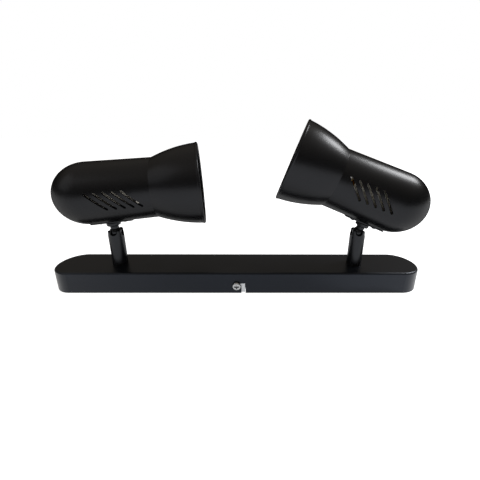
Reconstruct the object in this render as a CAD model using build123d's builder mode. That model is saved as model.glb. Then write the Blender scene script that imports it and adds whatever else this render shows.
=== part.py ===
from build123d import *

import os
from math import asin, cos, degrees, sin, sqrt

# Twin spotlight on a bar: a pressed bar base over a wall bracket, two socket stems that
# turn in the bar, and two bullet heads, each on a ball stud that tilts in its stem.
# Millimetres. The wall is the plane Z = 0, the bar runs along X, and +Z leaves the wall.

# Bar base, an open-backed pressing
bar_length = 320.0
bar_width = 35.4
bar_height = 18.8
bar_sheet = 1.2
bar_edge_radius = 1.5
bar_inner_radius = 0.4
stem_inset = 55.2

# Pose of the two heads as they stand: nose up from the wall plane, and nose turned off the bar
rest_tilt = {"left": 3.6, "right": 20.7}
rest_turn = {"left": 9.8, "right": 10.9}

# Head: spun shell with a domed back, a slightly tapered body, a flare and a rolled rim
head_length = 114.7
body_radius = 25.4
body_taper = 0.25
crease_station = 76.4
rim_radius = 34.9
rim_bead_radius = 1.25
rim_step = 0.35
flare_rise = 1.6
shell_sheet = 1.0

# Cooling slots on both flanks
vent_count = 5
vent_pitch = 6.25
vent_middle = 50.4
vent_drop = 1.2
vent_twist = 1.5
vent_length = 19.6
vent_width = 1.8
vent_slant = 46.0
vent_cut_depth = 10.0

# Where the head is carried: the ball's centre, measured from the axis and the back of the head
pivot_drop = 35.2
pivot_back = 37.3
pivot_height = 49.1

# Ball stud
ball_radius = 4.6
waist_radius = 3.3
waist_length = 5.35
collar_radius = 5.2
collar_station = 6.2
flange_radius = 5.5
flange_thickness = 2.0
spigot_radius = 4.0
lead_bore_radius = 2.0
stud_nut_flats = 11.0
stud_nut_height = 3.2
spigot_end = 0.8

# Socket stem
stem_radius = 6.2
socket_clearance = 0.25
socket_lip = 2.6
lip_rounding = 1.6
tilt_slot_width = 7.2
side_slot_width = 5.6
side_slot_rise = 0.9
chamber_depth = 11.5
tail_radius = 4.9
tail_bore_radius = 3.4
tail_end = 1.2
tail_fit = 0.08
washer_thickness = 0.5
ring_clearance = 0.1

# Spring pack under the ball
seat_radius = 4.7
seat_bore_radius = 2.7
seat_height = 3.05
seat_clearance = 0.24
seat_drop = 0.45
seat_slope = 1.33
seat_rim_drop = 2.35
disc_count = 5
disc_thickness = 0.38
disc_radius = 4.6
disc_gap = 0.02

# Below the bar: stop washer, lock washer and nut
stop_ring_radius = 7.5
stop_ring_thickness = 1.0
stop_tab_reach = 10.2
stop_tab_width = 3.0
stop_boss_inner = 8.4
stop_boss_width = 2.5
stop_boss_drop = 1.6
clamp_gap = 0.05
lock_washer_radius = 8.0
lock_washer_thickness = 0.8
stem_nut_flats = 14.0
stem_nut_height = 3.5

# Strap under the head, its rivets, and the lampholder bracket inside
strap_length = 33.4
strap_width = 11.0
strap_thickness = 1.0
strap_corner = 2.5
strap_gap = 0.02
rivet_offset = 9.5
rivet_radius = 1.25
rivet_head_radius = 2.2
rivet_head_height = 1.2
rivet_tail_radius = 1.9
rivet_tail_height = 0.7
foot_width = 10.0
foot_thickness = 1.0
foot_start = 21.0
foot_end = 50.0
foot_clearance = 0.05
leg_top = 10.0
hole_fit = 0.1

# Lampholder
holder_radius = 13.0
holder_length = 39.0
holder_nose_radius = 12.0
holder_nose_length = 16.0
holder_floor = 11.5
holder_well_radius = 5.0
contact_clearance = 0.5
cap_thread_radius = 7.0
screw_shell_wall = 0.5
screw_shell_fit = 0.3
screw_shell_setback = 0.5
contact_radius = 2.5
contact_height = 2.0
contact_hole_radius = 4.0
holder_screw_spacing = 14.0
holder_screw_radius = 1.4
holder_screw_depth = 6.0
holder_screw_head_radius = 2.6
holder_screw_head_height = 1.6
terminal_offset = 8.5
terminal_height = 4.0
terminal_lead_height = -1.0
terminal_radius = 1.2
terminal_head_radius = 2.0
terminal_head_height = 1.2
terminal_depth = 4.0

# Leads
lead_radius = 0.75
lead_pair_offset = 0.9
lead_bend = 2.5
lead_gap = 0.3
lead_lift = 0.9
lead_loop = 3.5
base_lead_height = 4.0
base_lead_bend = 1.4
lead_depart = 4.0
lead_diagonal = 12.0
lead_climb = 2.2
lead_entry = 4.0
lead_side_step = 0.8
block_lane_gap = 0.85
lane_gap = 0.4

# Wall bracket, its two ears and the cover screws
bracket_length = 130.0
bracket_width = 24.0
bracket_thickness = 1.5
wall_slot_spacing = 100.0
wall_slot_length = 10.0
wall_slot_width = 4.5
cable_hole_radius = 7.0
ear_width = 14.0
ear_height = 12.0
ear_clearance = 0.4
ear_rounding = 2.0
screw_height = 7.25
screw_thread_radius = 1.75
screw_slot_width = 3.7
screw_slot_travel = 5.75
screw_length = 5.0
screw_head_radius = 3.5
screw_head_height = 2.4
screw_head_rounding = 1.1
screw_head_draft = 8.0
cross_length = 3.9
cross_width = 0.8
cross_depth = 1.1
screw_fit = 0.05
screw_end_gap = 0.2

# Connector block and earth point
block_start = 14.5
block_pitch = 8.5
block_poles = 3
block_width = 16.0
block_height = 13.0
block_margin = 0.5
saddle_width = 1.6
saddle_depth = 3.0
barrel_height = 5.5
barrel_radius = 2.4
barrel_bore_radius = 1.75
barrel_inset = 1.0
barrel_fit = 0.05
pole_screw_radius = 1.25
pole_screw_bore_radius = 1.65
pole_screw_reach = 0.2
pole_screw_offset = 4.0
pole_screw_inset = 1.2
block_screw_radius = 1.2
block_screw_head_radius = 2.3
block_screw_head_height = 1.4
small_slot_width = 0.6
small_slot_depth = 0.7
earth_station = -28.0
earth_tag_radius = 4.5
earth_tag_reach = 9.0
earth_tag_width = 3.4
earth_tag_thickness = 0.8
earth_screw_radius = 2.0
earth_screw_head_radius = 3.8
earth_screw_head_height = 2.4
earth_slot_width = 0.9
earth_slot_depth = 1.1

side_sign = {"left": -1, "right": 1}
stem_spacing = bar_length - 2 * stem_inset
crease_radius = body_radius - body_taper
heading = {"left": rest_turn["left"], "right": 180.0 - rest_turn["right"]}
bar_underside = bar_height - bar_sheet
strap_back = body_radius + strap_gap + strap_thickness
foot_face = sqrt((crease_radius - shell_sheet) ** 2 - (foot_width / 2) ** 2) - foot_clearance
foot_back = foot_face - foot_thickness
holder_back = foot_start + foot_thickness
holder_front = holder_back + holder_length
chamber_radius = ball_radius + socket_clearance
tail_drop = (
    stop_ring_thickness + lock_washer_thickness + stem_nut_height + clamp_gap + tail_end
)
tail_foot = bar_underside - tail_drop
barrel_centre = bracket_thickness + barrel_height
screw_face = bar_width / 2
block_length = block_poles * block_pitch + 2 * block_margin
block_middle = block_start + block_length / 2
poles = [block_start + block_margin + block_pitch * (n + 0.5) for n in range(block_poles)]
block_screw_at = (poles[1] + poles[2]) / 2
block_top = bracket_thickness + block_height
near_lane = block_width / 2 + block_lane_gap + lead_radius
far_lane = near_lane + lane_gap + 2 * lead_radius


def stem_frame(side):
    """The ball's centre, with Z up the stem and X towards the head's nose."""
    place = (side_sign[side] * stem_spacing / 2, 0, pivot_height)
    return Location(place, (0, 0, heading[side]))


def head_frame(side):
    """The back of the head on its axis, with X towards the nose and Z away from the stem."""
    tilted = stem_frame(side) * Location((0, 0, 0), (0, -rest_tilt[side], 0))
    return tilted * Location((-pivot_back, 0, pivot_drop))


def stud_frame(side):
    """The ball's centre, with Z along the stud."""
    return head_frame(side) * Location((pivot_back, 0, -pivot_drop))


def place(frame, spot=(0, 0, 0), turn=(0, 0, 0)):
    """A plane that stands at a spot of a frame."""
    return Plane(frame * Location(spot, turn))


def point(frame, spot):
    """A spot of a frame in the model's own coordinates."""
    return (frame * Location(spot)).position


def profile_plane(frame):
    """The plane in which a round piece is drawn: X along the frame's X, Y along its Z."""
    return place(frame, turn=(90, 0, 0))


def across(frame):
    """The frame's X axis as the axis of a turned piece."""
    plane = place(frame)
    return Axis(plane.origin, plane.x_dir)


def upright(frame):
    """The frame's Z axis as the axis of a turned piece."""
    plane = place(frame)
    return Axis(plane.origin, plane.z_dir)


def bulge(start, end, rise):
    """The middle of an arc that stands a given rise off its chord."""
    length_x = end[0] - start[0]
    length_y = end[1] - start[1]
    chord = sqrt(length_x**2 + length_y**2)
    middle = ((start[0] + end[0]) / 2, (start[1] + end[1]) / 2)
    return (middle[0] - rise * length_y / chord, middle[1] + rise * length_x / chord)


def crown(radius, height):
    """The middle of a domed end's arc, as its distance off the axis and above the rim."""
    sphere = (radius**2 + height**2) / (2 * height)
    middle = asin(min(1.0, radius / sphere)) / 2
    return sphere * sin(middle), height - sphere + sphere * cos(middle)


def finish(piece, name):
    """Labels a finished piece and writes it."""
    piece.part.label = name
    export_step(piece.part, f"parts/{name}.step")


def body_line(station):
    """The radius of the head's tapered body at a station along its axis."""
    taper = (body_radius - crease_radius) / (crease_station - body_radius)
    return body_radius - taper * (station - body_radius)


def hex_radius(flats):
    """The corner radius of a hexagon across its flats."""
    return flats / sqrt(3)


os.makedirs("parts", exist_ok=True)

# ---------------------------------------------------------------- bar base
with BuildPart() as base_plate:
    with BuildSketch():
        SlotOverall(bar_length, bar_width)
    extrude(amount=bar_height)
    fillet(base_plate.faces().sort_by(Axis.Z)[-1].edges(), bar_edge_radius)
    with BuildPart(mode=Mode.PRIVATE) as hollow:
        with BuildSketch():
            SlotOverall(bar_length - 2 * bar_sheet, bar_width - 2 * bar_sheet)
        extrude(amount=bar_underside)
        fillet(hollow.faces().sort_by(Axis.Z)[-1].edges(), bar_inner_radius)
    add(hollow.part, mode=Mode.SUBTRACT)
    # Holes that the stems turn in
    with BuildSketch(Plane.XY.offset(bar_underside)):
        with GridLocations(stem_spacing, 0, 2, 1):
            Circle(tail_radius + tail_fit)
    extrude(amount=bar_sheet, mode=Mode.SUBTRACT)
    # Bosses that the stop tabs meet at the end of a turn
    with BuildSketch(Plane.XY.offset(bar_underside - stop_boss_drop)):
        boss_length = stop_tab_reach - stop_boss_inner
        boss_middle = stem_spacing / 2 + (stop_tab_reach + stop_boss_inner) / 2
        with GridLocations(2 * boss_middle, 0, 2, 1):
            Rectangle(boss_length, stop_boss_width)
    extrude(amount=stop_boss_drop)
    # L-shaped slots in both long walls, open at the rim, for the cover screws
    with BuildSketch(Plane.XZ.offset(-bar_width / 2)):
        with BuildLine():
            slot_top = screw_height + screw_slot_width / 2
            slot_low = screw_height - screw_slot_width / 2
            leg_left = screw_slot_travel - screw_slot_width / 2
            leg_right = screw_slot_travel + screw_slot_width / 2
            Polyline(
                (0, slot_low),
                (leg_left, slot_low),
                (leg_left, 0),
                (leg_right, 0),
                (leg_right, slot_top),
                (0, slot_top),
            )
            CenterArc((0, screw_height), screw_slot_width / 2, 90, 180)
        make_face()
    extrude(amount=bar_width, mode=Mode.SUBTRACT)
finish(base_plate, "base_plate")

# ---------------------------------------------------------------- wall bracket
ear_back = bar_width / 2 - bar_sheet - ear_clearance
with BuildPart() as wall_bracket:
    with BuildSketch():
        RectangleRounded(bracket_length, bracket_width, ear_rounding)
        Rectangle(ear_width, 2 * ear_back)
        Circle(cable_hole_radius, mode=Mode.SUBTRACT)
        with GridLocations(wall_slot_spacing, 0, 2, 1):
            SlotOverall(wall_slot_length, wall_slot_width, mode=Mode.SUBTRACT)
        with Locations((earth_station, 0)):
            Circle(earth_screw_radius, mode=Mode.SUBTRACT)
    extrude(amount=bracket_thickness)
    ear_middle = ear_back - bracket_thickness / 2
    with BuildSketch():
        with GridLocations(0, 2 * ear_middle, 1, 2):
            Rectangle(ear_width, bracket_thickness)
    extrude(amount=ear_height)
    ear_corners = wall_bracket.edges().filter_by(Axis.Y).group_by(Axis.Z)[-1]
    fillet(ear_corners, ear_rounding)
    # Tapped holes for the cover screws
    with BuildSketch(Plane.XZ.offset(-bar_width / 2)):
        with Locations((0, screw_height)):
            Circle(screw_thread_radius + screw_fit)
    extrude(amount=bar_width, mode=Mode.SUBTRACT)
    # Tapped hole for the connector block's screw
    with Locations((block_screw_at, 0, bracket_thickness)):
        Hole(block_screw_radius + screw_fit)
finish(wall_bracket, "wall_bracket")

# ---------------------------------------------------------------- cover screws
with BuildPart() as cover_screws:
    for facing in (90, -90):
        outward = Plane(Location((0, 0, screw_height), (facing, 0, 0)))
        with BuildSketch(outward.offset(screw_face)):
            Circle(screw_head_radius)
        extrude(amount=screw_head_height, taper=screw_head_draft)
        with BuildSketch(outward.offset(screw_face - screw_length)):
            Circle(screw_thread_radius)
        extrude(amount=screw_length)
        with BuildSketch(outward.offset(screw_face + screw_head_height)):
            Rectangle(cross_length, cross_width)
            Rectangle(cross_width, cross_length)
        extrude(amount=-cross_depth, mode=Mode.SUBTRACT)
    rims = cover_screws.edges().filter_by(GeomType.CIRCLE).group_by(Axis.Y)
    outer_rims = [rims[0], rims[-1]]
    fillet([rim[0] for rim in outer_rims], screw_head_rounding)
finish(cover_screws, "cover_screws")

# ---------------------------------------------------------------- connector block
screw_rows = [(x, y) for x in poles for y in (-pole_screw_offset, pole_screw_offset)]

with BuildPart() as terminal_block:
    with BuildSketch(Plane.XY.offset(bracket_thickness)):
        with Locations((block_middle, 0)):
            Rectangle(block_length, block_width)
    extrude(amount=block_height)
    # Saddles between the poles
    with BuildSketch(Plane.XY.offset(block_top)):
        with Locations(*[((poles[n] + poles[n + 1]) / 2, 0) for n in range(block_poles - 1)]):
            Rectangle(saddle_width, block_width)
    extrude(amount=-saddle_depth, mode=Mode.SUBTRACT)
    with BuildSketch(Plane.XZ.offset(-block_width / 2)):
        with Locations(*[(x, barrel_centre) for x in poles]):
            Circle(barrel_radius + barrel_fit)
    extrude(amount=block_width, mode=Mode.SUBTRACT)
    with BuildSketch(Plane.XY.offset(block_top)):
        with Locations(*screw_rows):
            Circle(pole_screw_bore_radius)
    extrude(amount=-(block_top - barrel_centre), mode=Mode.SUBTRACT)
    with BuildSketch(Plane.XY.offset(block_top)):
        with Locations((block_screw_at, 0)):
            Circle(block_screw_radius + screw_fit)
    extrude(amount=-block_height, mode=Mode.SUBTRACT)
finish(terminal_block, "terminal_block")

with BuildPart() as terminal_barrels:
    barrel_length = block_width - 2 * barrel_inset
    with BuildSketch(Plane.XZ.offset(-barrel_length / 2)):
        with Locations(*[(x, barrel_centre) for x in poles]):
            Circle(barrel_radius)
            Circle(barrel_bore_radius, mode=Mode.SUBTRACT)
    extrude(amount=barrel_length)
    with BuildSketch(Plane.XY.offset(barrel_centre)):
        with Locations(*screw_rows):
            Circle(pole_screw_radius + screw_fit)
    extrude(amount=barrel_radius + screw_fit, mode=Mode.SUBTRACT)
finish(terminal_barrels, "terminal_barrels")

with BuildPart() as terminal_screws:
    pole_screw_foot = barrel_centre + barrel_bore_radius - pole_screw_reach
    pole_screw_top = block_top - pole_screw_inset
    with BuildSketch(Plane.XY.offset(pole_screw_foot)):
        with Locations(*screw_rows):
            Circle(pole_screw_radius)
    extrude(amount=pole_screw_top - pole_screw_foot)
    with BuildSketch(Plane.XY.offset(pole_screw_top)):
        with Locations(*screw_rows):
            Rectangle(2 * pole_screw_radius, small_slot_width)
    extrude(amount=-small_slot_depth, mode=Mode.SUBTRACT)
finish(terminal_screws, "terminal_screws")

with BuildPart() as terminal_block_screw:
    with BuildSketch(Plane.XY.offset(screw_end_gap)):
        with Locations((block_screw_at, 0)):
            Circle(block_screw_radius)
    extrude(amount=block_top - screw_end_gap)
    with BuildSketch(Plane.XY.offset(block_top)):
        with Locations((block_screw_at, 0)):
            Circle(block_screw_head_radius)
    extrude(amount=block_screw_head_height)
    with BuildSketch(Plane.XY.offset(block_top + block_screw_head_height)):
        with Locations((block_screw_at, 0)):
            Rectangle(2 * block_screw_head_radius, small_slot_width)
    extrude(amount=-small_slot_depth, mode=Mode.SUBTRACT)
finish(terminal_block_screw, "terminal_block_screw")

# ---------------------------------------------------------------- earth point
earth_top = bracket_thickness + earth_tag_thickness
with BuildPart() as earth_tag:
    with BuildSketch(Plane.XY.offset(bracket_thickness)):
        with Locations((earth_station, 0)):
            Circle(earth_tag_radius)
        with Locations((earth_station, earth_tag_reach / 2)):
            Rectangle(earth_tag_width, earth_tag_reach)
        with Locations((earth_station, 0)):
            Circle(earth_screw_radius + hole_fit, mode=Mode.SUBTRACT)
    extrude(amount=earth_tag_thickness)
finish(earth_tag, "earth_tag")

with BuildPart() as earth_screw:
    with BuildSketch(Plane.XY.offset(screw_end_gap)):
        with Locations((earth_station, 0)):
            Circle(earth_screw_radius - screw_fit)
    extrude(amount=earth_top - screw_end_gap)
    with BuildSketch(Plane.XY.offset(earth_top)):
        with Locations((earth_station, 0)):
            Circle(earth_screw_head_radius)
    extrude(amount=earth_screw_head_height)
    with BuildSketch(Plane.XY.offset(earth_top + earth_screw_head_height)):
        with Locations((earth_station, 0)):
            Rectangle(2 * earth_screw_head_radius, earth_slot_width)
    extrude(amount=-earth_slot_depth, mode=Mode.SUBTRACT)
finish(earth_screw, "earth_screw")

# ---------------------------------------------------------------- leads in the bar
# Each lamp's pair runs low from the foot of its stem, in a near and a far lane beside the
# block. The left pair climbs to the poles before it reaches the block and the right pair at
# its pole, so that the four meet two poles without crossing.
lead_routes = []
for side, sign in side_sign.items():
    frame = stem_frame(side)
    for index, lane in enumerate((near_lane, far_lane)):
        pole = index if side == "left" else 1 - index
        start = point(frame, (0, sign * (2 * index - 1) * lead_pair_offset, 0))
        pole_x = poles[pole] + sign * lead_side_step
        depart = 0 if index else lead_depart
        turn_in = start.X - sign * (lead_diagonal + depart)
        route = [
            (start.X, start.Y, tail_foot - lead_gap),
            (start.X, start.Y, base_lead_height),
        ]
        if depart:
            route.append((start.X - sign * depart, start.Y, base_lead_height))
        route.append((turn_in, -lane, base_lead_height))
        if side == "left":
            climb_end = block_start - lead_climb
            climb_start = climb_end - (barrel_centre - base_lead_height)
            route.append((climb_start, -lane, base_lead_height))
            route.append((climb_end, -lane, barrel_centre))
            route.append((pole_x, -lane, barrel_centre))
        else:
            route.append((pole_x, -lane, base_lead_height))
            route.append((pole_x, lead_climb - lane, barrel_centre))
        route.append((pole_x, -lead_entry, barrel_centre))
        lead_routes.append(route)

with BuildPart() as lamp_leads:
    for route in lead_routes:
        with BuildLine() as run:
            FilletPolyline(*route, radius=base_lead_bend)
        with BuildSketch(Plane(origin=run.line @ 0, z_dir=run.line % 0)):
            Circle(lead_radius)
        sweep(path=run.line)
finish(lamp_leads, "lamp_leads")

earth_lead_height = earth_top + lead_radius
with BuildPart() as earth_lead:
    with BuildLine() as run:
        FilletPolyline(
            (earth_station, earth_screw_head_radius + lead_radius + lead_gap, earth_lead_height),
            (earth_station, far_lane, earth_lead_height),
            (poles[2], far_lane, earth_lead_height),
            (poles[2], far_lane, barrel_centre),
            (poles[2], lead_entry, barrel_centre),
            radius=base_lead_bend,
        )
    with BuildSketch(Plane(origin=run.line @ 0, z_dir=run.line % 0)):
        Circle(lead_radius)
    sweep(path=run.line)
finish(earth_lead, "earth_lead")

# ---------------------------------------------------------------- per side
for side in side_sign:
    stem_at = stem_frame(side)
    head_at = head_frame(side)
    stud_at = stud_frame(side)
    stem_foot = bar_height + washer_thickness - pivot_height
    underside = bar_underside - pivot_height

    # Thin washer between the bar and the stem's shoulder
    with BuildPart() as stem_washer:
        with BuildSketch(place(stem_at, (0, 0, bar_height - pivot_height))):
            Circle(stem_radius)
            Circle(tail_radius + ring_clearance, mode=Mode.SUBTRACT)
        extrude(amount=washer_thickness)
    finish(stem_washer, f"{side}_stem_washer")

    # Socket stem: a turned post with a threaded tail. Four prongs hold the ball, and two
    # crossing slots between them let the stud's waist swing down.
    slots = ((tilt_slot_width, 0, 90), (side_slot_width, side_slot_rise, 0))
    with BuildPart() as stem:
        with BuildSketch(profile_plane(stem_at)):
            with BuildLine():
                lip_start = stem_radius - lip_rounding
                lip_edge = sqrt(chamber_radius**2 - socket_lip**2)
                Polyline(
                    (tail_bore_radius, tail_foot - pivot_height),
                    (tail_radius, tail_foot - pivot_height),
                    (tail_radius, stem_foot),
                    (stem_radius, stem_foot),
                    (stem_radius, socket_lip - lip_rounding),
                )
                CenterArc((lip_start, socket_lip - lip_rounding), lip_rounding, 0, 90)
                Line((lip_start, socket_lip), (lip_edge, socket_lip))
                lip_angle = degrees(asin(socket_lip / chamber_radius))
                CenterArc((0, 0), chamber_radius, 0, lip_angle)
                Polyline(
                    (chamber_radius, 0),
                    (chamber_radius, -chamber_depth),
                    (tail_bore_radius, -chamber_depth),
                    (tail_bore_radius, tail_foot - pivot_height),
                )
            make_face()
        revolve(axis=upright(stem_at))
        for slot_width, rise, turn in slots:
            slot_frame = stem_at * Location((0, 0, rise), (0, 0, turn))
            with BuildSketch(profile_plane(slot_frame)):
                Circle(slot_width / 2)
                with Locations((0, socket_lip)):
                    Rectangle(slot_width, 2 * socket_lip)
            extrude(amount=2 * stem_radius, both=True, mode=Mode.SUBTRACT)
    finish(stem, f"{side}_stem")

    # Seat ring that the springs press up against the ball
    with BuildPart() as ball_seat:
        seat_reach = ball_radius + seat_clearance
        seat_inner_top = -sqrt(seat_reach**2 - seat_bore_radius**2) - seat_drop
        seat_rim_inner = seat_bore_radius - (seat_rim_drop + seat_inner_top) / seat_slope
        seat_foot = seat_inner_top - seat_height
        with BuildSketch(profile_plane(stem_at)):
            with BuildLine():
                Polyline(
                    (seat_bore_radius, seat_foot),
                    (seat_radius, seat_foot),
                    (seat_radius, -seat_rim_drop),
                    (seat_rim_inner, -seat_rim_drop),
                    (seat_bore_radius, seat_inner_top),
                    close=True,
                )
            make_face()
        revolve(axis=upright(stem_at))
    finish(ball_seat, f"{side}_ball_seat")

    # Disc springs, stacked in turn cup up and cup down
    with BuildPart() as disc_springs:
        stack_height = seat_foot + chamber_depth
        disc_pitch = stack_height / disc_count
        cup = disc_pitch - disc_thickness - 2 * disc_gap
        for n in range(disc_count):
            low = -chamber_depth + n * disc_pitch + disc_gap
            inner = cup if n % 2 else 0
            outer = 0 if n % 2 else cup
            with BuildSketch(profile_plane(stem_at)):
                with BuildLine():
                    Polyline(
                        (seat_bore_radius, low + inner),
                        (disc_radius, low + outer),
                        (disc_radius, low + outer + disc_thickness),
                        (seat_bore_radius, low + inner + disc_thickness),
                        close=True,
                    )
                make_face()
            revolve(axis=upright(stem_at))
    finish(disc_springs, f"{side}_disc_springs")

    # Stop washer with its tab, lock washer and nut on the tail
    with BuildPart() as stop_washer:
        with BuildSketch(place(stem_at, (0, 0, underside - clamp_gap))):
            Circle(stop_ring_radius)
            with Locations(((stop_tab_reach + tail_radius) / 2, 0)):
                Rectangle(stop_tab_reach - tail_radius, stop_tab_width)
            Circle(tail_radius + ring_clearance, mode=Mode.SUBTRACT)
        extrude(amount=-stop_ring_thickness)
    finish(stop_washer, f"{side}_stop_washer")

    lock_level = underside - clamp_gap - stop_ring_thickness
    with BuildPart() as lock_washer:
        with BuildSketch(place(stem_at, (0, 0, lock_level))):
            Circle(lock_washer_radius)
            Circle(tail_radius + ring_clearance, mode=Mode.SUBTRACT)
        extrude(amount=-lock_washer_thickness)
    finish(lock_washer, f"{side}_lock_washer")

    with BuildPart() as stem_nut:
        with BuildSketch(place(stem_at, (0, 0, lock_level - lock_washer_thickness))):
            RegularPolygon(hex_radius(stem_nut_flats), 6)
            Circle(tail_radius + screw_fit, mode=Mode.SUBTRACT)
        extrude(amount=-stem_nut_height)
    finish(stem_nut, f"{side}_stem_nut")

    # The pair of leads inside the stem
    with BuildPart() as stem_leads:
        with BuildSketch(place(stem_at, (0, 0, tail_foot - pivot_height))):
            with GridLocations(0, 2 * lead_pair_offset, 1, 2):
                Circle(lead_radius)
        extrude(amount=seat_inner_top - lead_gap - (tail_foot - pivot_height))
    finish(stem_leads, f"{side}_stem_leads")

    # Ball stud: ball, waist, collar, flange and the threaded spigot that enters the head
    strap_level = pivot_drop - strap_back
    spigot_top = pivot_drop - foot_back + stud_nut_height + spigot_end
    with BuildPart() as ball_stud:
        with BuildSketch(profile_plane(stud_at)):
            with BuildLine():
                ball_low = -sqrt(ball_radius**2 - lead_bore_radius**2)
                ball_high = sqrt(ball_radius**2 - waist_radius**2)
                ThreePointArc((lead_bore_radius, ball_low), (ball_radius, 0), (waist_radius, ball_high))
                Polyline(
                    (waist_radius, ball_high),
                    (waist_radius, waist_length),
                    (collar_radius, collar_station),
                    (flange_radius, strap_level - flange_thickness),
                    (flange_radius, strap_level),
                    (spigot_radius, strap_level),
                    (spigot_radius, spigot_top),
                    (lead_bore_radius, spigot_top),
                    (lead_bore_radius, ball_low),
                )
            make_face()
        revolve(axis=upright(stud_at))
    finish(ball_stud, f"{side}_ball_stud")

    # Strap that spreads the stud's load over the shell, curved with the body
    below = (180, 0, 0)
    with BuildPart() as strap:
        strap_start = pivot_back - strap_length / 2
        strap_end = pivot_back + strap_length / 2
        with BuildSketch(profile_plane(head_at)):
            with BuildLine():
                Polyline(
                    (strap_start, body_line(strap_start) + strap_gap),
                    (strap_end, body_line(strap_end) + strap_gap),
                    (strap_end, body_line(strap_end) + strap_gap + strap_thickness),
                    (strap_start, body_line(strap_start) + strap_gap + strap_thickness),
                    close=True,
                )
            make_face()
        revolve(axis=across(head_at))
        with BuildSketch(place(head_at, (pivot_back, 0, 0), below)):
            RectangleRounded(strap_length, strap_width, strap_corner)
            Circle(spigot_radius + hole_fit, mode=Mode.SUBTRACT)
            with GridLocations(2 * rivet_offset, 0, 2, 1):
                Circle(rivet_radius + hole_fit, mode=Mode.SUBTRACT)
        extrude(amount=2 * body_radius, mode=Mode.INTERSECT)
    finish(strap, f"{side}_strap")

    # Two rivets through strap, shell and bracket foot
    with BuildPart() as strap_rivets:
        for step in (-rivet_offset, rivet_offset):
            rivet_at = head_at * Location((pivot_back + step, 0, 0))
            with BuildSketch(profile_plane(rivet_at)):
                with BuildLine():
                    low = -strap_back
                    high = -foot_back
                    Polyline(
                        (0, low - rivet_head_height),
                        (0, high + rivet_tail_height),
                        (rivet_tail_radius, high + rivet_tail_height),
                        (rivet_tail_radius, high),
                        (rivet_radius, high),
                        (rivet_radius, low),
                        (rivet_head_radius, low),
                    )
                    crown_out, crown_up = crown(rivet_head_radius, rivet_head_height)
                    ThreePointArc(
                        (rivet_head_radius, low),
                        (crown_out, low - crown_up),
                        (0, low - rivet_head_height),
                    )
                make_face()
            revolve(axis=upright(rivet_at))
    finish(strap_rivets, f"{side}_strap_rivets")

    # Nut on the spigot, inside the head
    with BuildPart() as stud_nut:
        with BuildSketch(place(head_at, (pivot_back, 0, -foot_back))):
            RegularPolygon(hex_radius(stud_nut_flats), 6)
            Circle(spigot_radius + screw_fit, mode=Mode.SUBTRACT)
        extrude(amount=stud_nut_height)
    finish(stud_nut, f"{side}_stud_nut")

    # Head shell
    with BuildPart() as head_shell:
        with BuildSketch(profile_plane(head_at)):
            with BuildLine():
                bead_station = head_length - rim_bead_radius
                lip_radius = rim_radius - rim_step
                inner_body = body_radius - shell_sheet
                outer_crease = (crease_station, crease_radius)
                inner_crease = (crease_station, crease_radius - shell_sheet)
                outer_lip = (bead_station, lip_radius)
                inner_lip = (bead_station, lip_radius - shell_sheet)
                CenterArc((body_radius, 0), body_radius, 90, 90)
                Line((body_radius, body_radius), outer_crease)
                ThreePointArc(outer_crease, bulge(outer_crease, outer_lip, flare_rise), outer_lip)
                Line(outer_lip, inner_lip)
                ThreePointArc(inner_lip, bulge(inner_crease, inner_lip, flare_rise), inner_crease)
                Line(inner_crease, (body_radius, inner_body))
                CenterArc((body_radius, 0), inner_body, 90, 90)
                Line((shell_sheet, 0), (0, 0))
            make_face()
            with Locations((bead_station, rim_radius - rim_bead_radius)):
                Circle(rim_bead_radius)
        revolve(axis=across(head_at))
        # Slanted cooling slots, wound the same way round on both flanks
        for flank, slant in ((1, -vent_slant), (-1, vent_slant)):
            flank_plane = place(head_at, (vent_middle, 0, -vent_drop - flank * vent_twist), (90, 0, 0))
            with BuildSketch(flank_plane.offset(flank * (body_radius - vent_cut_depth))):
                with GridLocations(vent_pitch, 0, vent_count, 1):
                    SlotOverall(vent_length, vent_width, rotation=slant)
            extrude(amount=flank * 2 * vent_cut_depth, mode=Mode.SUBTRACT)
        # Holes for the spigot and the rivets
        with BuildSketch(place(head_at, (pivot_back, 0, -foot_back), below)):
            Circle(spigot_radius + hole_fit)
            with GridLocations(2 * rivet_offset, 0, 2, 1):
                Circle(rivet_radius + hole_fit)
        extrude(amount=body_radius, mode=Mode.SUBTRACT)
    finish(head_shell, f"{side}_head_shell")

    # Bracket that carries the lampholder: a foot on the shell and a leg behind the holder
    with BuildPart() as holder_bracket:
        with BuildSketch(profile_plane(head_at)):
            with BuildLine():
                Polyline(
                    (foot_start, -foot_face),
                    (foot_end, -foot_face),
                    (foot_end, -foot_back),
                    (holder_back, -foot_back),
                    (holder_back, leg_top),
                    (foot_start, leg_top),
                    close=True,
                )
            make_face()
        extrude(amount=foot_width / 2, both=True)
        with BuildSketch(place(head_at, (pivot_back, 0, -foot_face))):
            Circle(spigot_radius + hole_fit)
            with GridLocations(2 * rivet_offset, 0, 2, 1):
                Circle(rivet_radius + hole_fit)
        extrude(amount=foot_thickness, mode=Mode.SUBTRACT)
        with BuildSketch(place(head_at, (foot_start, 0, 0), (0, 90, 0))):
            with GridLocations(holder_screw_spacing, 0, 2, 1):
                Circle(holder_screw_radius + hole_fit)
        extrude(amount=foot_thickness, mode=Mode.SUBTRACT)
    finish(holder_bracket, f"{side}_holder_bracket")

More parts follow.
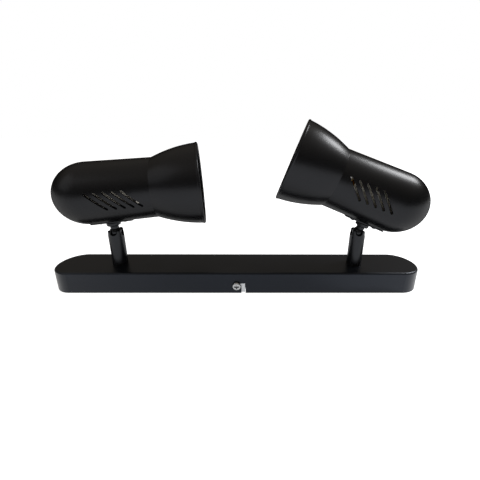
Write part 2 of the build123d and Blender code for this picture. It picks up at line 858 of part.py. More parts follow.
    # Porcelain lampholder body, with a screw hole and a lead hole for each terminal
    terminal_rows = (-terminal_height, -terminal_lead_height)
    terminal_spots = [(z, y) for z in terminal_rows for y in (-terminal_offset, terminal_offset)]
    screw_shell_outer = cap_thread_radius + screw_shell_wall
    holder_bore = screw_shell_outer + screw_shell_fit
    floor_station = holder_back + holder_floor
    shell_seat = floor_station + contact_height + contact_clearance
    with BuildPart() as lampholder:
        with BuildSketch(profile_plane(head_at)):
            with BuildLine():
                nose_start = holder_front - holder_nose_length
                Polyline(
                    (holder_back, 0),
                    (holder_back, holder_radius),
                    (nose_start, holder_radius),
                    (nose_start, holder_nose_radius),
                    (holder_front, holder_nose_radius),
                    (holder_front, holder_bore),
                    (shell_seat, holder_bore),
                    (shell_seat, holder_well_radius),
                    (floor_station, holder_well_radius),
                    (floor_station, 0),
                    close=True,
                )
            make_face()
        revolve(axis=across(head_at))
        with BuildSketch(place(head_at, (holder_back, 0, 0), (0, 90, 0))):
            with GridLocations(holder_screw_spacing, 0, 2, 1):
                Circle(holder_screw_radius + screw_fit)
            with Locations(*terminal_spots):
                Circle(terminal_radius + screw_fit)
        extrude(amount=holder_screw_depth, mode=Mode.SUBTRACT)
    finish(lampholder, f"{side}_lampholder")

    # Screw shell for the lamp cap, with a ring floor
    with BuildPart() as screw_shell:
        with BuildSketch(profile_plane(head_at)):
            with BuildLine():
                shell_front = holder_front - screw_shell_setback
                Polyline(
                    (shell_seat, contact_hole_radius),
                    (shell_seat, screw_shell_outer),
                    (shell_front, screw_shell_outer),
                    (shell_front, cap_thread_radius),
                    (shell_seat + screw_shell_wall, cap_thread_radius),
                    (shell_seat + screw_shell_wall, contact_hole_radius),
                    close=True,
                )
            make_face()
        revolve(axis=across(head_at))
    finish(screw_shell, f"{side}_screw_shell")

    with BuildPart() as centre_contact:
        with BuildSketch(profile_plane(head_at)):
            with BuildLine():
                contact_tip = floor_station + contact_height
                crown_out, crown_up = crown(contact_radius, contact_height)
                ThreePointArc(
                    (floor_station, contact_radius),
                    (floor_station + crown_up, crown_out),
                    (contact_tip, 0),
                )
                Polyline((contact_tip, 0), (floor_station, 0), (floor_station, contact_radius))
            make_face()
        revolve(axis=across(head_at))
    finish(centre_contact, f"{side}_centre_contact")

    # Screws through the leg into the porcelain
    with BuildPart() as holder_screws:
        with BuildSketch(place(head_at, (foot_start, 0, 0), (0, 90, 0))):
            with GridLocations(holder_screw_spacing, 0, 2, 1):
                Circle(holder_screw_radius)
        extrude(amount=holder_screw_depth)
        with BuildSketch(place(head_at, (foot_start, 0, 0), (0, 90, 0))):
            with GridLocations(holder_screw_spacing, 0, 2, 1):
                Circle(holder_screw_head_radius)
        extrude(amount=-holder_screw_head_height)
        with BuildSketch(place(head_at, (foot_start - holder_screw_head_height, 0, 0), (0, 90, 0))):
            with GridLocations(holder_screw_spacing, 0, 2, 1):
                Rectangle(2 * holder_screw_head_radius, small_slot_width)
        extrude(amount=small_slot_depth, mode=Mode.SUBTRACT)
    finish(holder_screws, f"{side}_holder_screws")

    # Terminal screws on the back of the porcelain
    with BuildPart() as holder_terminals:
        for step in (-terminal_offset, terminal_offset):
            with BuildSketch(place(head_at, (holder_back, step, terminal_height), (0, 90, 0))):
                Circle(terminal_radius)
            extrude(amount=terminal_depth)
            with BuildSketch(place(head_at, (holder_back, step, terminal_height), (0, 90, 0))):
                Circle(terminal_head_radius)
            extrude(amount=-terminal_head_height)
    finish(holder_terminals, f"{side}_holder_terminals")

    # Leads from the ball, up the stud and round behind the holder to its terminals
    with BuildPart() as head_leads:
        lead_floor = lead_lift - (foot_back + holder_radius) / 2
        lead_rear = foot_start - lead_loop
        for way in (-1, 1):
            y_near = way * lead_pair_offset
            y_far = way * terminal_offset
            spots = [
                (pivot_back, y_near, -pivot_drop + ball_low),
                (pivot_back, y_near, lead_floor),
                (lead_rear, y_far, lead_floor),
                (lead_rear, y_far, terminal_lead_height),
                (holder_back + terminal_depth, y_far, terminal_lead_height),
            ]
            with BuildLine() as run:
                FilletPolyline(*[point(head_at, spot) for spot in spots], radius=lead_bend)
            with BuildSketch(Plane(origin=run.line @ 0, z_dir=run.line % 0)):
                Circle(lead_radius)
            sweep(path=run.line)
    finish(head_leads, f"{side}_head_leads")
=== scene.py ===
# %% [markdown]
# # Twin spotlight on a bar
# This lesson dresses the CAD model of a small ceiling or wall light. It has a black bar with two
# bullet spotlights on short stems. The CAD model gives every piece its true size and place, so
# the lesson is about finishes, fine form, light and the camera.

# %% The frame
import bmesh
import bpy
from math import cos, pi, radians, sin
from mathutils import Matrix, Vector


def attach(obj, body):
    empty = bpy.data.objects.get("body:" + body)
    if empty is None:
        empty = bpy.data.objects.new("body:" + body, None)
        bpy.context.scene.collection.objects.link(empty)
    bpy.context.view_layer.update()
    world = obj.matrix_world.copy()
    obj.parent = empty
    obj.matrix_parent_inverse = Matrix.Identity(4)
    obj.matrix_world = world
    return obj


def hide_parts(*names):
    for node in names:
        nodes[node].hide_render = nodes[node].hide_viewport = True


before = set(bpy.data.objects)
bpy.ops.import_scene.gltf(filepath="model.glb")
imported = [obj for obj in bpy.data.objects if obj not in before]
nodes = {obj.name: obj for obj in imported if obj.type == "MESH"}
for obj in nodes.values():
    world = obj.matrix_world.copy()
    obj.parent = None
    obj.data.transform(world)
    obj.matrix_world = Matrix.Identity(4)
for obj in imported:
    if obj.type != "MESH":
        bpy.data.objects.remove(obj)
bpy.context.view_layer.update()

# %% [markdown]
# ## Camera
# The photograph was taken from close by with a wide lens: the far edge of the bar looks much
# shorter than the near one. The camera stands where the bar's corners, stems and rims all line up.
# The picture was cropped off the lens's middle, so the lens is shifted by that much and no more.

# %% Camera
image_size = 480
focal_pixels = 246.49
lens_middle = (251.406, 206.631)
pitch, yaw, roll = radians(16.302), radians(0.424), radians(0.257)
camera_place = Vector((0.01079, -0.19899, 0.12973))
forward = Vector((sin(yaw) * cos(pitch), cos(yaw) * cos(pitch), -sin(pitch)))
level = Vector((cos(yaw), -sin(yaw), 0))
upright = level.cross(forward)
right = cos(roll) * level + sin(roll) * upright
up = -sin(roll) * level + cos(roll) * upright
camera_data = bpy.data.cameras.new("camera")
camera_data.sensor_width = 36
camera_data.lens = focal_pixels * camera_data.sensor_width / image_size
camera_data.shift_x = (image_size / 2 - lens_middle[0]) / image_size
camera_data.shift_y = (lens_middle[1] - image_size / 2) / image_size
camera_data.clip_start = 0.01
camera = bpy.data.objects.new("camera", camera_data)
camera_axes = Matrix((right, up, -forward)).transposed().to_4x4()
camera.matrix_world = Matrix.Translation(camera_place) @ camera_axes
bpy.context.scene.collection.objects.link(camera)
bpy.context.scene.camera = camera
print("lens:", round(camera_data.lens, 2), "mm")
print("shift:", round(camera_data.shift_x, 4), round(camera_data.shift_y, 4))

# %% [markdown]
# ## Colours and nodes
# A screen colour isn't a light level, so one function turns each hex colour to linear. Another
# adds a shader node with its settings and links, which keeps the material recipes short.

# %% Colour and node helpers
def colour(hex_text):
    """The linear colour of an sRGB hex value."""
    channels = []
    for place in (0, 2, 4):
        value = int(hex_text[place:place + 2], 16) / 255
        channels.append(value / 12.92 if value <= 0.04045 else ((value + 0.055) / 1.055) ** 2.4)
    return (*channels, 1.0)


def node(tree, kind, settings=None, **inputs):
    """Adds a node. An input is a number, a colour or another node's output, and _0 is the first."""
    made = tree.nodes.new(kind)
    for name, value in (settings or {}).items():
        setattr(made, name, value)
    for name, value in inputs.items():
        socket = made.inputs[int(name[1:])] if name[0] == "_" and name[1:].isdigit() else None
        if socket is None:
            socket = made.inputs[name.replace("_", " ")]
        if isinstance(value, bpy.types.NodeSocket):
            tree.links.new(value, socket)
        else:
            socket.default_value = value
    return made


def new_material(name):
    """A material with an empty tree and its output node."""
    material = bpy.data.materials.new(name)
    material.use_nodes = True
    tree = material.node_tree
    tree.nodes.clear()
    return material, tree, tree.nodes.new("ShaderNodeOutputMaterial")


def per_mm(size):
    """The scale of a noise whose grains are this many millimetres across."""
    return 1000 / size


print("a dark grey of 0e0e10 is", round(colour("0e0e10")[0], 5), "of full light")

# %% [markdown]
# ## Black powder coat
# The bar, the heads and the stems are sprayed with dry powder and baked. The coat melts into a
# satin skin with a very shallow orange-peel ripple about 1.5 mm across, and a finer grain below.
# The sheen colour is a grey that cuts every reflection of the coat to about half: painted shade, which
# dims the white table and the room it shows.
# Towards a glancing view the sheen gives way to the bare shade, by a power set per coat: painted shade
# on the outlines and undersides.

# %% Powder coat
peel_size, grain_size, patch_size = 1.6, 0.35, 28
peel_depth, grain_depth = 0.00006, 0.000012
softened_edge = 0.0002
gloss_spread = 0.02


def powder_coat(name, shade, sheen, roughness, ripple, glancing_shade):
    """Baked satin powder coat with an orange-peel ripple, whose sheen gives way to painted shade at
    glancing views.
    """
    material, tree, output = new_material(name)
    place = node(tree, "ShaderNodeTexCoord").outputs["Object"]
    peel = node(tree, "ShaderNodeTexNoise", Vector=place, Scale=per_mm(peel_size), Detail=2.0)
    grain = node(tree, "ShaderNodeTexNoise", Vector=place, Scale=per_mm(grain_size), Detail=3.0)
    corner = node(tree, "ShaderNodeBevel", {"samples": 6}, Radius=softened_edge)
    coarse = node(tree, "ShaderNodeBump", Strength=ripple, Distance=peel_depth,
                  Height=peel.outputs["Fac"], Normal=corner.outputs["Normal"])
    fine = node(tree, "ShaderNodeBump", Strength=ripple, Distance=grain_depth,
                Height=grain.outputs["Fac"], Normal=coarse.outputs["Normal"])
    patch = node(tree, "ShaderNodeTexNoise", Vector=place, Scale=per_mm(patch_size), Detail=3.0)
    gloss = node(tree, "ShaderNodeMapRange", Value=patch.outputs["Fac"])
    gloss.inputs["From Min"].default_value = 0.3
    gloss.inputs["From Max"].default_value = 0.7
    gloss.inputs["To Min"].default_value = roughness - gloss_spread
    gloss.inputs["To Max"].default_value = roughness + gloss_spread
    # The sheen colour as specular tint dims every reflection of the coat: painted shade.
    skin = node(tree, "ShaderNodeBsdfPrincipled", Base_Color=colour(shade), IOR=1.5,
                Specular_Tint=colour(sheen), Roughness=gloss.outputs["Result"],
                Normal=fine.outputs["Normal"])
    # Bare shade that takes over at glancing views: painted shade on the outlines and undersides.
    bare = node(tree, "ShaderNodeBsdfDiffuse", Color=colour(shade), Normal=fine.outputs["Normal"])
    glancing = node(tree, "ShaderNodeLayerWeight", Blend=0.5).outputs["Facing"]
    facing = node(tree, "ShaderNodeMath", {"operation": "SUBTRACT"}, _0=1.0, _1=glancing)
    share = node(tree, "ShaderNodeMath", {"operation": "POWER"}, _0=facing.outputs["Value"], _1=glancing_shade)
    coat = node(tree, "ShaderNodeMixShader", _0=share.outputs["Value"], _1=bare.outputs["BSDF"],
                _2=skin.outputs["BSDF"])
    tree.links.new(coat.outputs["Shader"], output.inputs["Surface"])
    return material


# Heads, bar and stems wear one black coat. The three copies differ in shade, sheen and glancing shade
# to set how bright each part looks: painted light and shade. The stems' copy is the lightest, painted
# light for the white table they reflect.
head_coat = powder_coat("black_powder_coat_head", "0e0e10", "b8bbc2", 0.3, 0.4, 1.1)
bar_coat = powder_coat("black_powder_coat_bar", "0d0f13", "a0aabd", 0.32, 0.4, 0.1)
stem_coat_painted_light = powder_coat("black_powder_coat_stem_painted_light", "121316", "c4c8cf", 0.3, 0.3, 0.7)
print("coats:", head_coat.name, bar_coat.name, stem_coat_painted_light.name)

# %% [markdown]
# ## Plated and rolled metals
# Zinc plate is a dull blue-grey with a faint crystal bloom. Nickel plate is smoother and greyer.
# Brass pressings keep a soft mill sheen. All are metals, so their colour is in the reflection.

# %% Metals
def plated_metal(name, shade, roughness, grain_mm, spread):
    """A metal whose gloss varies in soft patches."""
    material, tree, output = new_material(name)
    place = node(tree, "ShaderNodeTexCoord").outputs["Object"]
    bloom = node(tree, "ShaderNodeTexNoise", Vector=place, Scale=per_mm(grain_mm), Detail=4.0)
    gloss = node(tree, "ShaderNodeMapRange", Value=bloom.outputs["Fac"])
    gloss.inputs["To Min"].default_value = roughness - spread
    gloss.inputs["To Max"].default_value = roughness + spread
    bump = node(tree, "ShaderNodeBump", Strength=0.2, Distance=0.00001, Height=bloom.outputs["Fac"])
    skin = node(tree, "ShaderNodeBsdfPrincipled", Base_Color=colour(shade), Metallic=1.0,
                Roughness=gloss.outputs["Result"], Normal=bump.outputs["Normal"])
    tree.links.new(skin.outputs["BSDF"], output.inputs["Surface"])
    return material


zinc_plate = plated_metal("zinc_plated_steel", "b9bcc0", 0.38, 3.0, 0.12)
nickel_plate = plated_metal("nickel_plated_steel", "a8aaac", 0.3, 1.2, 0.06)
spring_steel = plated_metal("rolled_spring_steel", "8a8a8c", 0.35, 1.0, 0.08)
pressed_brass = plated_metal("pressed_brass", "d8b260", 0.3, 1.5, 0.08)
print("metals:", zinc_plate.name, nickel_plate.name, spring_steel.name, pressed_brass.name)

# %% [markdown]
# ## Porcelain, nylon and lead sleeves
# The lampholder is bare porcelain, slightly warm and gritty. The connector block is moulded
# nylon. The leads wear soft silicone sleeves.

# %% Porcelain and plastics
def moulded(name, shade, roughness, grain_mm, depth_mm):
    """A fired or moulded body with a fine surface grain."""
    material, tree, output = new_material(name)
    place = node(tree, "ShaderNodeTexCoord").outputs["Object"]
    grain = node(tree, "ShaderNodeTexNoise", Vector=place, Scale=per_mm(grain_mm), Detail=3.0)
    bump = node(tree, "ShaderNodeBump", Strength=0.5, Distance=depth_mm / 1000,
                Height=grain.outputs["Fac"])
    skin = node(tree, "ShaderNodeBsdfPrincipled", Base_Color=colour(shade), Roughness=roughness,
                IOR=1.5, Normal=bump.outputs["Normal"])
    tree.links.new(skin.outputs["BSDF"], output.inputs["Surface"])
    return material


porcelain = moulded("bare_porcelain", "f0ecdf", 0.5, 0.4, 0.02)
white_nylon = moulded("white_moulded_nylon", "e4e3dd", 0.4, 0.6, 0.01)
black_nylon = moulded("black_moulded_nylon", "141414", 0.45, 0.6, 0.01)
brown_sleeve = moulded("brown_silicone_sleeve", "5a2f1c", 0.45, 0.5, 0.01)
green_sleeve = moulded("green_silicone_sleeve", "5f8a2f", 0.45, 0.5, 0.01)
print("moulded bodies:", porcelain.name, white_nylon.name, black_nylon.name)
print("sleeves:", brown_sleeve.name, green_sleeve.name)

# %% [markdown]
# ## Finishing the CAD pieces
# Each CAD piece keeps its mesh and takes the finish of its real counterpart. Pieces that come
# in a left and right pair share one entry.

# %% Finishes
finishes = {
    "base_plate": bar_coat, "wall_bracket": zinc_plate, "cover_screws": nickel_plate,
    "terminal_block": white_nylon, "terminal_barrels": pressed_brass,
    "terminal_screws": nickel_plate, "terminal_block_screw": zinc_plate,
    "earth_tag": pressed_brass, "earth_screw": zinc_plate, "lamp_leads": brown_sleeve,
    "earth_lead": green_sleeve, "stem": stem_coat_painted_light, "stem_washer": stem_coat_painted_light,
    "ball_seat": black_nylon, "disc_springs": spring_steel, "stop_washer": zinc_plate,
    "lock_washer": spring_steel, "stem_nut": zinc_plate, "stem_leads": brown_sleeve,
    "ball_stud": stem_coat_painted_light, "strap": head_coat, "strap_rivets": head_coat,
    "stud_nut": zinc_plate, "head_shell": head_coat, "holder_bracket": zinc_plate,
    "lampholder": porcelain, "screw_shell": pressed_brass, "centre_contact": pressed_brass,
    "holder_screws": zinc_plate, "holder_terminals": pressed_brass, "head_leads": brown_sleeve,
}
for name, piece in nodes.items():
    key = name if name in finishes else name.split("_", 1)[1]
    for slot in piece.material_slots:
        slot.material = finishes[key]
print("finished:", len(nodes))

# %% [markdown]
# ## Trees that grow small parts
# Geometry Nodes make what follows a rule. A helper builds a tree with named inputs, and another
# lets it grow once, keeps the plain mesh and takes the modifier away.

# %% Geometry Nodes helpers
def new_tree(name, inputs):
    """A Geometry Nodes tree with geometry in and out and the named inputs."""
    tree = bpy.data.node_groups.new(name, "GeometryNodeTree")
    tree.interface.new_socket("Geometry", in_out="INPUT", socket_type="NodeSocketGeometry")
    tree.interface.new_socket("Geometry", in_out="OUTPUT", socket_type="NodeSocketGeometry")
    for label, kind in inputs.items():
        tree.interface.new_socket(label, in_out="INPUT", socket_type="NodeSocket" + kind)
    return tree, tree.nodes.new("NodeGroupInput").outputs, tree.nodes.new("NodeGroupOutput")


def finish_tree(tree, end, geometry, finish):
    """Ends a tree with real geometry in one finish."""
    real = node(tree, "GeometryNodeRealizeInstances", Geometry=geometry)
    smooth = node(tree, "GeometryNodeSetShadeSmooth", Geometry=real.outputs["Geometry"])
    dressed = node(tree, "GeometryNodeSetMaterial", Geometry=smooth.outputs["Geometry"],
                   Material=finish)
    tree.links.new(dressed.outputs["Geometry"], end.inputs["Geometry"])


def grow(name, tree, values, mesh=None):
    """The plain mesh that a tree grows from its named values."""
    seed = bpy.data.objects.new(name, mesh or bpy.data.meshes.new(name))
    bpy.context.scene.collection.objects.link(seed)
    modifier = seed.modifiers.new("grow", "NODES")
    modifier.node_group = tree
    for item in tree.interface.items_tree:
        if item.in_out == "INPUT" and item.name in values:
            modifier[item.identifier] = values[item.name]
    grown = bpy.data.meshes.new_from_object(seed.evaluated_get(bpy.context.evaluated_depsgraph_get()))
    bpy.data.objects.remove(seed)
    return grown


def one_object(name, parts, body, replaced):
    """Joins meshes, each with its own matrix, into one piece that rides on a body."""
    shape = bmesh.new()
    finishes_used = []
    for mesh, matrix in parts:
        first = len(shape.faces)
        shape.from_mesh(mesh)
        shape.faces.ensure_lookup_table()
        slots = []
        for material in mesh.materials:
            if material not in finishes_used:
                finishes_used.append(material)
            slots.append(finishes_used.index(material))
        moved = {vertex for face in shape.faces[first:] for vertex in face.verts}
        bmesh.ops.transform(shape, matrix=matrix, verts=list(moved))
        for face in shape.faces[first:]:
            face.material_index = slots[face.material_index]
    joined = bpy.data.meshes.new(name)
    shape.to_mesh(joined)
    shape.free()
    for material in finishes_used:
        joined.materials.append(material)
    piece = bpy.data.objects.new(name, joined)
    bpy.context.scene.collection.objects.link(piece)
    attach(piece, body)
    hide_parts(replaced)
    print(name, "faces:", len(joined.polygons))
    return piece


# %% [markdown]
# ## Turned parts
# Screw heads and cups are round, so a helper turns a profile of radius and height about Z.

# %% Turning helper
def turned(name, profile, material, steps=64):
    """A closed profile of (radius, height) in mm, turned about Z."""
    shape = bmesh.new()
    rings = []
    for radius, height in profile:
        if radius == 0:
            rings.append([shape.verts.new((0, 0, height / 1000))] * steps)
            continue
        angles = [2 * pi * n / steps for n in range(steps)]
        rings.append([shape.verts.new((radius * cos(a) / 1000, radius * sin(a) / 1000, height / 1000))
                      for a in angles])
    pairs = list(zip(rings, rings[1:] + rings[:1]))
    for low, high in pairs:
        for n in range(steps):
            corners = []
            for vertex in (low[n], low[(n + 1) % steps], high[(n + 1) % steps], high[n]):
                if vertex not in corners:
                    corners.append(vertex)
            if len(corners) > 2:
                shape.faces.new(corners).smooth = True
    bmesh.ops.recalc_face_normals(shape, faces=shape.faces)
    mesh = bpy.data.meshes.new(name)
    shape.to_mesh(mesh)
    shape.free()
    mesh.materials.append(material)
    mesh.set_sharp_from_angle(angle=radians(35))
    return mesh


# %% [markdown]
# ## The rolled thread
# The lamp screws into a brass cup whose thread is rolled: a soft wave that climbs 2.82 mm in a
# turn. The tree bends a tube by a cosine of height and angle, and lets the wave fade at both ends.

# %% Thread tree
rings_per_turn, points_per_ring = 12.0, 72
thread_tree, given, end = new_tree("rolled_thread", {
    "Radius": "Float", "Length": "Float", "Pitch": "Float", "Depth": "Float", "Finish": "Material"})
all_turns = node(thread_tree, "ShaderNodeMath", {"operation": "DIVIDE"}, _0=given["Length"],
                 _1=given["Pitch"])
rings = node(thread_tree, "ShaderNodeMath", {"operation": "MULTIPLY"},
             _0=all_turns.outputs["Value"], _1=rings_per_turn)
tube = node(thread_tree, "GeometryNodeMeshCylinder", {"fill_type": "NONE"}, Vertices=points_per_ring,
            Side_Segments=rings.outputs["Value"], Radius=given["Radius"], Depth=given["Length"])
spot = node(thread_tree, "GeometryNodeInputPosition").outputs["Position"]
axes = node(thread_tree, "ShaderNodeSeparateXYZ", Vector=spot).outputs
around = node(thread_tree, "ShaderNodeMath", {"operation": "ARCTAN2"}, _0=axes["Y"], _1=axes["X"])
turns = node(thread_tree, "ShaderNodeMath", {"operation": "DIVIDE"}, _0=axes["Z"], _1=given["Pitch"])
climb = node(thread_tree, "ShaderNodeMath", {"operation": "MULTIPLY_ADD"}, _0=turns.outputs["Value"],
             _1=-2 * pi, _2=around.outputs["Value"])
wave = node(thread_tree, "ShaderNodeMath", {"operation": "COSINE"}, _0=climb.outputs["Value"])
half = node(thread_tree, "ShaderNodeMath", {"operation": "MULTIPLY"}, _0=given["Length"], _1=0.5)
height = node(thread_tree, "ShaderNodeMath", {"operation": "ABSOLUTE"}, _0=axes["Z"])
margin = node(thread_tree, "ShaderNodeMath", {"operation": "SUBTRACT"}, _0=half.outputs["Value"],
              _1=height.outputs["Value"])
fade = node(thread_tree, "ShaderNodeMath", {"operation": "DIVIDE", "use_clamp": True},
            _0=margin.outputs["Value"], _1=given["Pitch"])
crest = node(thread_tree, "ShaderNodeMath", {"operation": "MULTIPLY"}, _0=wave.outputs["Value"],
             _1=fade.outputs["Value"])
lift = node(thread_tree, "ShaderNodeMath", {"operation": "MULTIPLY"}, _0=crest.outputs["Value"],
            _1=given["Depth"])
level = node(thread_tree, "ShaderNodeCombineXYZ", X=axes["X"], Y=axes["Y"], Z=0.0)
outward = node(thread_tree, "ShaderNodeVectorMath", {"operation": "NORMALIZE"},
               _0=level.outputs["Vector"])
shift = node(thread_tree, "ShaderNodeVectorMath", {"operation": "SCALE"}, _0=outward.outputs["Vector"],
             Scale=lift.outputs["Value"])
bent = node(thread_tree, "GeometryNodeSetPosition", Geometry=tube.outputs["Mesh"],
            Offset=shift.outputs["Vector"])
finish_tree(thread_tree, end, bent.outputs["Geometry"], given["Finish"])
print("thread tree nodes:", len(thread_tree.nodes))

# %% [markdown]
# ## Where the heads stand
# Each head tilts about its ball, and its parts are easiest to make along the head's own axis.
# One matrix per side takes them from there to their place.

# %% Head places
ball_spacing, ball_height = 0.2096, 0.0491
ball_drop, ball_back = 0.0352, 0.0373
head_turn = {"left": 9.8, "right": 180 - 10.9}
head_tilt = {"left": 3.6, "right": 20.7}


def head_place(side):
    """From the back of a head, with Z along its axis towards the rim, to the model."""
    across = ball_spacing / 2 * (1 if side == "right" else -1)
    return (Matrix.Translation((across, 0, ball_height))
            @ Matrix.Rotation(radians(head_turn[side]), 4, "Z")
            @ Matrix.Rotation(-radians(head_tilt[side]), 4, "Y")
            @ Matrix.Translation((-ball_back, 0, ball_drop))
            @ Matrix.Rotation(pi / 2, 4, "Y"))


for side in ("left", "right"):
    print(side, "head's back:", [round(v, 4) for v in head_place(side).to_translation()])

# %% [markdown]
# ## The lamp's brass cup
# It is a tube with the rolled thread, a rolled lip in front and a ring floor with a hole for the
# centre contact. The tube gets its wall inwards, so its outside keeps the true size.

# %% Screw shells
cup_floor, cup_front = 36.0, 60.5
cup_radius, cup_wall, wave_depth = 7.2, 0.35, 0.28
cup_pitch = 2.822
floor_hole, floor_wall = 4.0, 0.45
lip_length, lip_swell, lip_step = 1.2, 0.1, 0.2
tube_length = cup_front - cup_floor - lip_length
outer_thread = grow("cup_thread", thread_tree, {
    "Radius": cup_radius / 1000, "Length": tube_length / 1000, "Pitch": cup_pitch / 1000,
    "Depth": wave_depth / 1000, "Finish": pressed_brass})
inner_thread = grow("cup_thread_inside", thread_tree, {
    "Radius": (cup_radius - cup_wall) / 1000, "Length": tube_length / 1000, "Pitch": cup_pitch / 1000,
    "Depth": wave_depth / 1000, "Finish": pressed_brass})
inner_thread.flip_normals()
cup_end = turned("cup_floor", [(floor_hole, 0), (cup_radius, 0), (cup_radius, floor_wall),
                               (floor_hole, floor_wall)], pressed_brass)
cup_lip = turned("cup_lip", [
    (cup_radius - cup_wall, 0), (cup_radius, 0), (cup_radius + lip_swell, lip_length / 2),
    (cup_radius, lip_length), (cup_radius - cup_wall, lip_length - lip_step)], pressed_brass)
for side in ("left", "right"):
    tube_place = head_place(side) @ Matrix.Translation((0, 0, (cup_floor + tube_length / 2) / 1000))
    floor_place = head_place(side) @ Matrix.Translation((0, 0, cup_floor / 1000))
    lip_place = head_place(side) @ Matrix.Translation((0, 0, (cup_front - lip_length) / 1000))
    one_object(f"{side}_threaded_cup",
               [(outer_thread, tube_place), (inner_thread, tube_place), (cup_end, floor_place),
                (cup_lip, lip_place)], f"{side}_spot", f"{side}_screw_shell")

# %% [markdown]
# ## Cover screws
# Two nickel-plated pan-head screws hold the bar on its bracket, one in each long wall. The head
# is turned, and a cross with sloping walls is cut out of it, as a real driver recess has.

# %% Screw head
screw_radius, screw_rise, shoulder = 3.5, 2.3, 1.25
core_radius, core_length, tip_radius, tip_length = 1.5, 5.0, 0.9, 0.7
thread_radius, thread_pitch, thread_depth = 1.6, 0.6, 0.13
thread_length = core_length - tip_length
recess_depth, recess_top, recess_bottom = 2.1, (2.2, 0.65), (1.4, 0.5)
shoulder_arc = [(screw_radius - shoulder + shoulder * sin(a), screw_rise - shoulder + shoulder * cos(a))
                for a in [radians(9 * n) for n in range(11)]]
screw_head = turned("screw_head", [(0, 0), (0, screw_rise + 0.12), (1.2, screw_rise + 0.08)]
                    + shoulder_arc + [(screw_radius, 0.3), (screw_radius - 0.15, 0)], nickel_plate)
screw_core = turned("screw_core", [(0, -core_length), (tip_radius, -core_length),
                                   (core_radius, -thread_length), (core_radius, 0.1), (0, 0.1)],
                    nickel_plate, 32)
screw_thread = grow("screw_thread", thread_tree, {
    "Radius": thread_radius / 1000, "Length": thread_length / 1000, "Pitch": thread_pitch / 1000,
    "Depth": thread_depth / 1000, "Finish": nickel_plate})


def driver_cross(depth, top, bottom):
    """A cross whose arms taper from their (half length, half width) on top to those below."""
    shape = bmesh.new()
    for turn in (0, pi / 2):
        corners = []
        for height, (long, wide) in ((0.5, top), (0, top), (-depth, bottom)):
            for x, y in ((-long, -wide), (long, -wide), (long, wide), (-long, wide)):
                corners.append(shape.verts.new((x / 1000, y / 1000, (screw_rise + height) / 1000)))
        for low in (0, 4):
            for n in range(4):
                shape.faces.new([corners[low + n], corners[low + (n + 1) % 4],
                                 corners[low + 4 + (n + 1) % 4], corners[low + 4 + n]])
        shape.faces.new(corners[0:4])
        shape.faces.new(corners[8:12])
        bmesh.ops.recalc_face_normals(shape, faces=shape.faces)
        bmesh.ops.rotate(shape, matrix=Matrix.Rotation(turn, 3, "Z"), verts=corners)
    mesh = bpy.data.meshes.new("driver_cross")
    shape.to_mesh(mesh)
    shape.free()
    return mesh


blank = bpy.data.objects.new("screw_blank", screw_head)
cutter = bpy.data.objects.new("driver_cross", driver_cross(recess_depth, recess_top, recess_bottom))
for tool in (blank, cutter):
    bpy.context.scene.collection.objects.link(tool)
cut = blank.modifiers.new("cut", "BOOLEAN")
cut.operation, cut.solver, cut.use_self, cut.object = "DIFFERENCE", "EXACT", True, cutter
bpy.context.view_layer.update()
cut_head = bpy.data.meshes.new_from_object(blank.evaluated_get(bpy.context.evaluated_depsgraph_get()))
for tool in (blank, cutter):
    bpy.data.objects.remove(tool)
print("cut screw head faces:", len(cut_head.polygons))

# %% [markdown]
# The two screws are one design, set out as copies. The tree puts a copy on each point of a line
# and turns it by its share, so the second screw faces the other way.

# %% Row of copies
row_tree, given, end = new_tree("row_of_copies", {
    "Count": "Int", "Start": "Vector", "Step": "Vector", "Turn": "Vector", "Finish": "Material"})
line = node(row_tree, "GeometryNodeMeshLine", {"mode": "OFFSET"}, Count=given["Count"],
            Start_Location=given["Start"], Offset=given["Step"])
index = node(row_tree, "GeometryNodeInputIndex").outputs["Index"]
share = node(row_tree, "ShaderNodeVectorMath", {"operation": "SCALE"}, _0=given["Turn"], Scale=index)
facing = node(row_tree, "FunctionNodeEulerToRotation", Euler=share.outputs["Vector"])
copies = node(row_tree, "GeometryNodeInstanceOnPoints", Points=line.outputs["Mesh"],
              Instance=given["Geometry"], Rotation=facing.outputs["Rotation"])
finish_tree(row_tree, end, copies.outputs["Instances"], given["Finish"])
print("row tree nodes:", len(row_tree.nodes))

# %% [markdown]
# The head, core and thread are joined into one screw, which the row then sets out twice.

# %% Both cover screws
bar_half_width, screw_height = 0.0177, 0.00725
thread_middle = -2.3
outwards = Matrix.Rotation(pi / 2, 4, "X")
shape = bmesh.new()
for mesh, drop in ((cut_head, 0), (screw_core, 0), (screw_thread, thread_middle)):
    first = len(shape.verts)
    shape.from_mesh(mesh)
    shape.verts.ensure_lookup_table()
    bmesh.ops.transform(shape, matrix=outwards @ Matrix.Translation((0, 0, drop / 1000)),
                        verts=shape.verts[first:])
one_screw = bpy.data.meshes.new("cover_screw")
shape.to_mesh(one_screw)
shape.free()
both = grow("both_cover_screws", row_tree, {
    "Count": 2, "Start": (0, -bar_half_width, screw_height), "Step": (0, 2 * bar_half_width, 0),
    "Turn": (0, 0, pi), "Finish": nickel_plate}, one_screw)
both.set_sharp_from_angle(angle=radians(30))
one_object("cross_head_screws", [(both, Matrix.Identity(4))], "base", "cover_screws")

# %% [markdown]
# ## Floor, backdrop and room
# The light stands on a white table in front of white paper. Paper and table are white to the
# camera and to reflections, and the table still takes the object's shadow.

# %% Floor
def seen_directly(tree):
    """1 for rays that show a thing to the camera, in a reflection or through glass."""
    path = node(tree, "ShaderNodeLightPath")
    either = node(tree, "ShaderNodeMath", {"operation": "MAXIMUM"},
                  _0=path.outputs["Is Camera Ray"], _1=path.outputs["Is Glossy Ray"])
    return node(tree, "ShaderNodeMath", {"operation": "MAXIMUM"}, _0=either.outputs["Value"],
                _1=path.outputs["Is Transmission Ray"]).outputs["Value"]


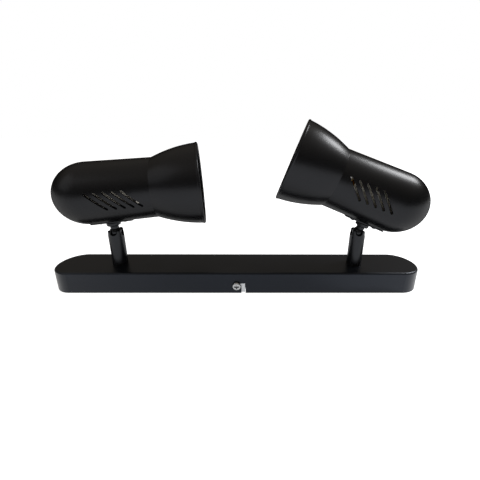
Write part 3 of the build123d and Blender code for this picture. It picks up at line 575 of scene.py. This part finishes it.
def flat_square(name, reach, height):
    """A square that lies level."""
    mesh = bpy.data.meshes.new(name)
    corners = [(x * reach, y * reach, height) for x, y in ((-1, -1), (1, -1), (1, 1), (-1, 1))]
    mesh.from_pydata(corners, [], [(0, 1, 2, 3)])
    square = bpy.data.objects.new(name, mesh)
    bpy.context.scene.collection.objects.link(square)
    return square


floor_reach, paper_glow = 6.0, 0.86
floor = flat_square("floor", floor_reach, 0)
paper, tree, output = new_material("white_table_paper")
matt = node(tree, "ShaderNodeBsdfDiffuse", Color=colour("e8ecf2"))
glow = node(tree, "ShaderNodeEmission", Color=(1, 1, 1, 1), Strength=paper_glow)
lit = node(tree, "ShaderNodeAddShader", _0=matt.outputs["BSDF"], _1=glow.outputs["Emission"])
mixed = node(tree, "ShaderNodeMixShader", _0=seen_directly(tree), _1=matt.outputs["BSDF"],
             _2=lit.outputs["Shader"])
tree.links.new(mixed.outputs["Shader"], output.inputs["Surface"])
floor.data.materials.append(paper)
print("floor:", 2 * floor_reach, "m square")

# %% [markdown]
# The backdrop is the world. It is plain white where it is seen, and much weaker as a light.

# %% World
room_strength = 0.3
world = bpy.data.worlds.new("white_backdrop")
bpy.context.scene.world = world
world.use_nodes = True
tree = world.node_tree
tree.nodes.clear()
output = tree.nodes.new("ShaderNodeOutputWorld")
room_light = node(tree, "ShaderNodeBackground", Color=(1, 1, 1, 1), Strength=room_strength)
backdrop = node(tree, "ShaderNodeBackground", Color=(1, 1, 1, 1), Strength=1.0)
mixed = node(tree, "ShaderNodeMixShader", _0=seen_directly(tree),
             _1=room_light.outputs["Background"], _2=backdrop.outputs["Background"])
tree.links.new(mixed.outputs["Shader"], output.inputs["Surface"])
print("backdrop white to the camera, light from it:", room_strength)

# %% [markdown]
# ## The room around the table
# A black coat shows what stands around it. Here that is a dim room with a soft grey ceiling, so
# the bar's top stays dark, the heads' upper sides turn grey and their undersides show the table.
# The room is a wide ball whose glow rises with height. The camera looks through it at the paper.

# %% Room
room_radius = 3.0
glow_from, glow_to = 0.12 * room_radius, 0.95 * room_radius
low_glow, high_glow = 0.05, 0.55
ball = bpy.data.meshes.new("room")
shape = bmesh.new()
bmesh.ops.create_uvsphere(shape, u_segments=48, v_segments=24, radius=room_radius)
bmesh.ops.reverse_faces(shape, faces=shape.faces)
shape.to_mesh(ball)
shape.free()
room = bpy.data.objects.new("room", ball)
bpy.context.scene.collection.objects.link(room)
room.visible_camera = False
room.visible_transmission = False
walls, tree, output = new_material("dim_room")
place = node(tree, "ShaderNodeTexCoord").outputs["Object"]
height = node(tree, "ShaderNodeSeparateXYZ", Vector=place).outputs["Z"]
rise = node(tree, "ShaderNodeMapRange", {"interpolation_type": "SMOOTHSTEP"}, Value=height)
rise.inputs["From Min"].default_value = glow_from
rise.inputs["From Max"].default_value = glow_to
rise.inputs["To Min"].default_value = low_glow
rise.inputs["To Max"].default_value = high_glow
glow = node(tree, "ShaderNodeEmission", Color=colour("fff4e4"), Strength=rise.outputs["Result"])
tree.links.new(glow.outputs["Emission"], output.inputs["Surface"])
ball.materials.append(walls)
print("room glow:", low_glow, "below", round(glow_from, 2), "m")
print("room glow:", high_glow, "above", round(glow_to, 2), "m")

# %% [markdown]
# ## Lamps
# The long streak on the right head shows a soft lamp high on the right. A broad, weak one on
# the left opens the shadows.

# %% Lamps
def soft_lamp(name, place, target, width, height, power):
    """An area lamp that faces a point."""
    data = bpy.data.lights.new(name, "AREA")
    data.shape = "RECTANGLE"
    data.size = width
    data.size_y = height
    data.energy = power
    lamp = bpy.data.objects.new(name, data)
    direction = Vector(target) - Vector(place)
    aim = direction.to_track_quat("-Z", "Y").to_matrix().to_4x4()
    lamp.matrix_world = Matrix.Translation(place) @ aim
    bpy.context.scene.collection.objects.link(lamp)
    print(name, power, "W at", round(direction.length, 2), "m")
    return lamp


middle = (0, 0, 0.06)
soft_lamp("key_lamp", (0.85, 0.24, 0.76), middle, 0.3, 0.3, 8.3)
soft_lamp("fill_lamp", (-0.9, -0.5, 0.7), middle, 0.8, 0.8, 1.5)
bpy.context.scene.view_settings.view_transform = "Standard"
